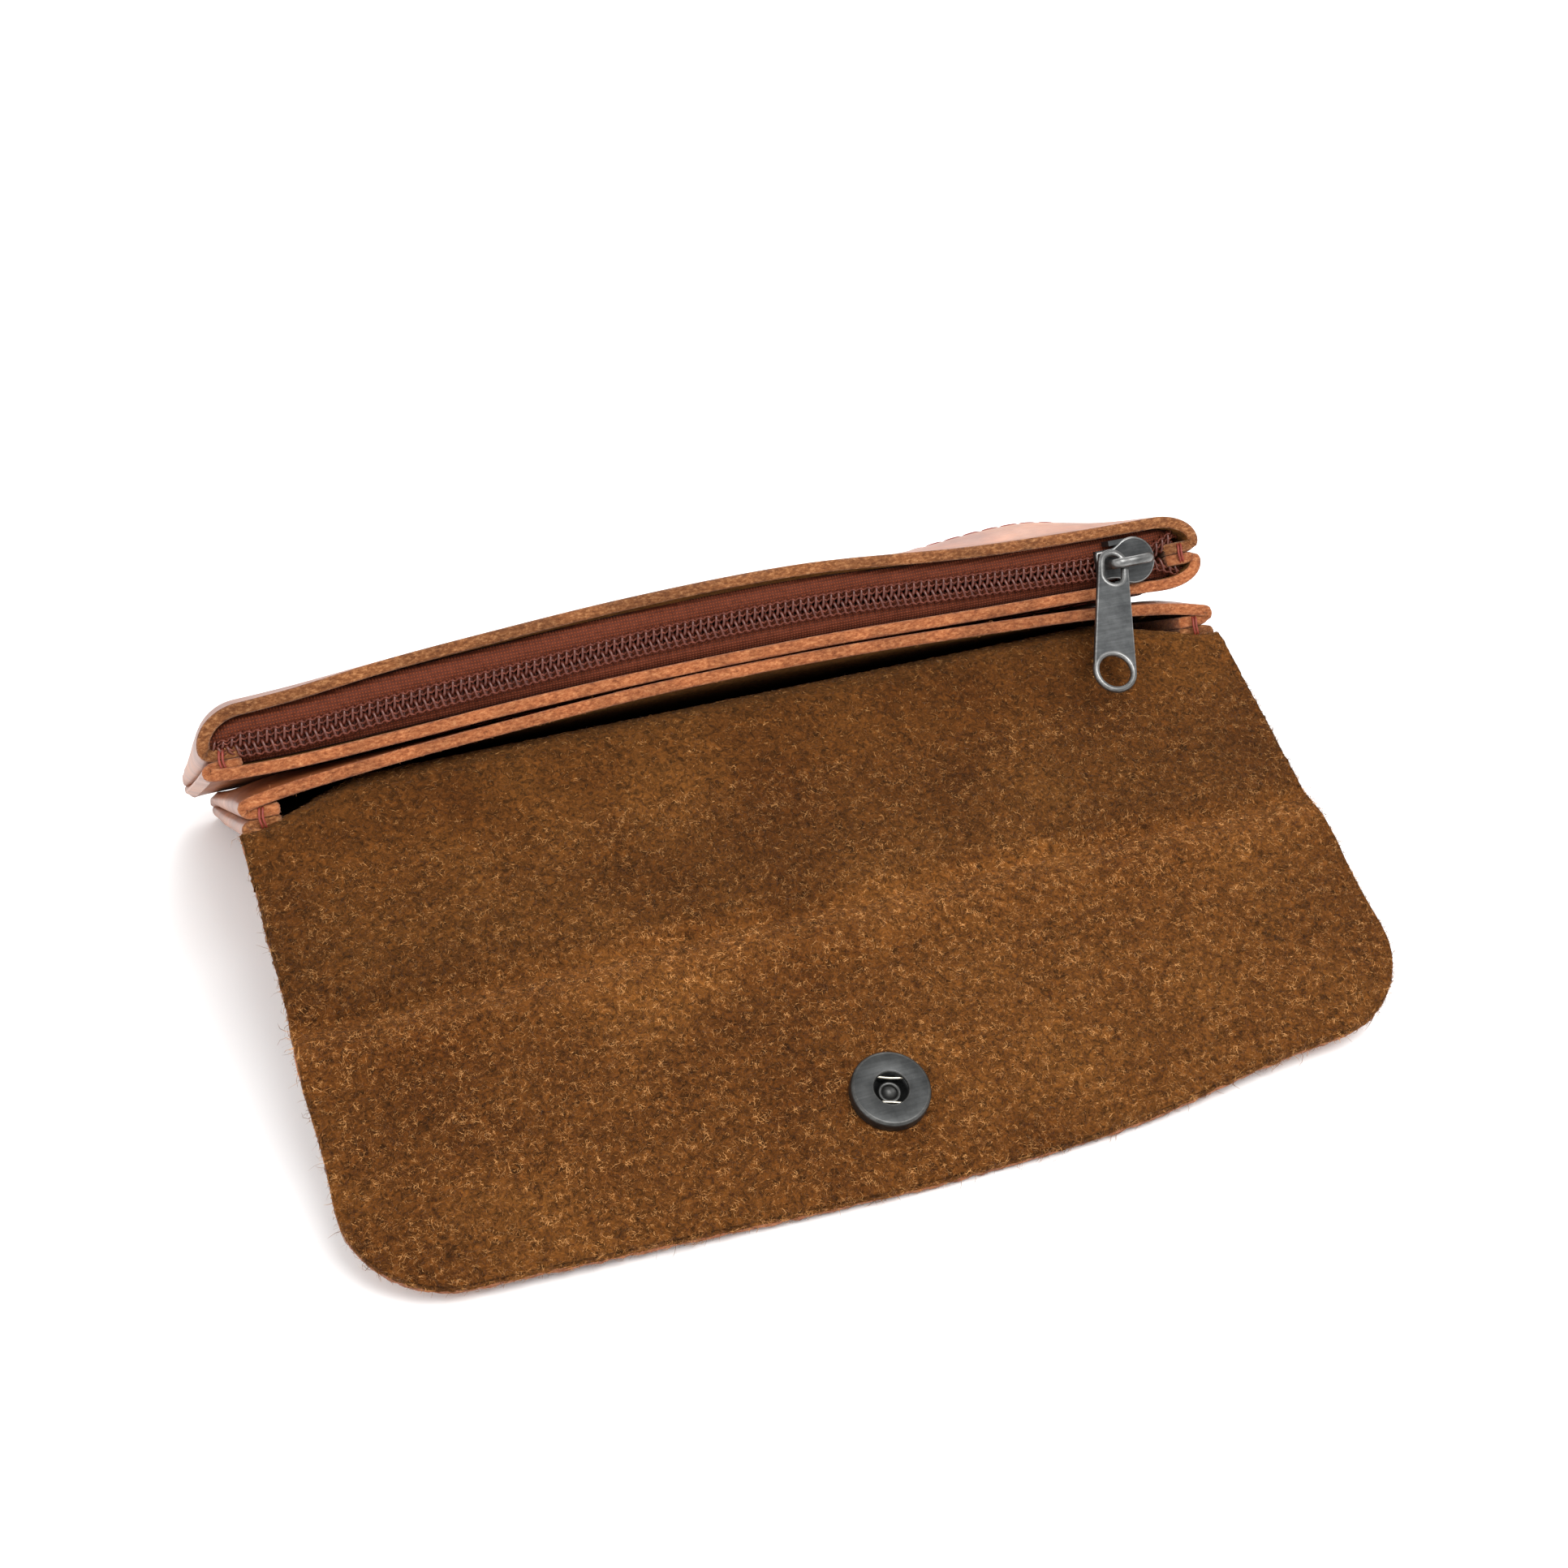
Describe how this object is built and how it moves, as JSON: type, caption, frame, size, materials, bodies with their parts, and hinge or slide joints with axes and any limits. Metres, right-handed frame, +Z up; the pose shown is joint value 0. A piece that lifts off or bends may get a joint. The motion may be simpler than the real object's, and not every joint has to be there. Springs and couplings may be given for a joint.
{
  "type": "wristlet wallet",
  "caption": "Leather wristlet wallet standing open: a main pocket, a zip pouch in front of it, and a long suede-lined flap that folds over and snaps shut.",
  "frame": {"origin": "on the floor, under the middle of the standing wallet's box", "axes": "+X along the mouth towards the zip's closed end, -Y towards the flap's tip, +Y towards the pouches' bottom seam, +Z up"},
  "size_m": [0.19, 0.1658, 0.0629],
  "materials": {
    "leather": "pull-up hide, satin grain outside, cut edges raw",
    "suede": "flesh side with a short nap",
    "thread": "bonded nylon thread",
    "zip_tape": "woven tape",
    "zip_coil": "moulded nylon coil",
    "slider_metal": "antique dark nickel, worn bright along its edges",
    "snap_metal": "gunmetal plating, satin",
    "spring_wire": "bare spring wire"
  },
  "bodies": {
    "pouch": {"back_panel": "leather", "main_front_panel": "leather", "zip_back_panel": "leather", "zip_front_panel": "leather", "main_seam_thread": "thread", "zip_seam_thread": "thread", "zip_tape_thread": "thread", "joining_thread": "thread", "zip_tape_upper": "zip_tape", "zip_tape_lower": "zip_tape", "zip_coil_upper": "zip_coil", "zip_coil_lower": "zip_coil", "snap_stud": "snap_metal", "stud_rivet": "snap_metal"},
    "flap_root_strip": {"flap_root": "suede"},
    "flap_middle_strip": {"flap_middle": "suede"},
    "flap_front_leaf": {"flap_front": "suede", "snap_cap": "snap_metal", "snap_socket": "snap_metal", "socket_spring": "spring_wire"},
    "zip_slider": {"slider_body": "slider_metal", "slider_bridge": "slider_metal", "slider_lock_spring": "spring_wire"},
    "zip_pull": {"pull_tab": "slider_metal"}
  },
  "joints": [
    {"name": "mouth_fold", "type": "hinge", "parent": "pouch", "child": "flap_root_strip", "pos_m": [0, 0.00145, 0.04075], "axis": [-1, 0, 0], "range_deg": [0, 101]},
    {"name": "middle_bend", "type": "hinge", "parent": "flap_root_strip", "child": "flap_middle_strip", "pos_m": [0, -0.01659, 0.03211], "axis": [-1, 0, 0], "range_deg": [0, 68.55]},
    {"name": "crease_fold", "type": "hinge", "parent": "flap_middle_strip", "child": "flap_front_leaf", "pos_m": [0, -0.03463, 0.02348], "axis": [-1, 0, 0], "range_deg": [0, 74.74]},
    {"name": "zip_slide", "type": "slide", "parent": "pouch", "child": "zip_slider", "axis": [1, 0, 0], "range_m": [-0.155, 0.003]},
    {"name": "pull_swing", "type": "hinge", "parent": "zip_slider", "child": "zip_pull", "pos_m": [0.0733, 0.00656, 0.05838], "axis": [-0.126, 0.6816, -0.7208], "range_deg": [0, 91.44]}
  ],
  "couplings": [
    {"joint": "middle_bend", "follows": "mouth_fold", "ratio": 0.67768},
    {"joint": "pull_swing", "follows": "mouth_fold", "ratio": 0.90238}
  ]
}
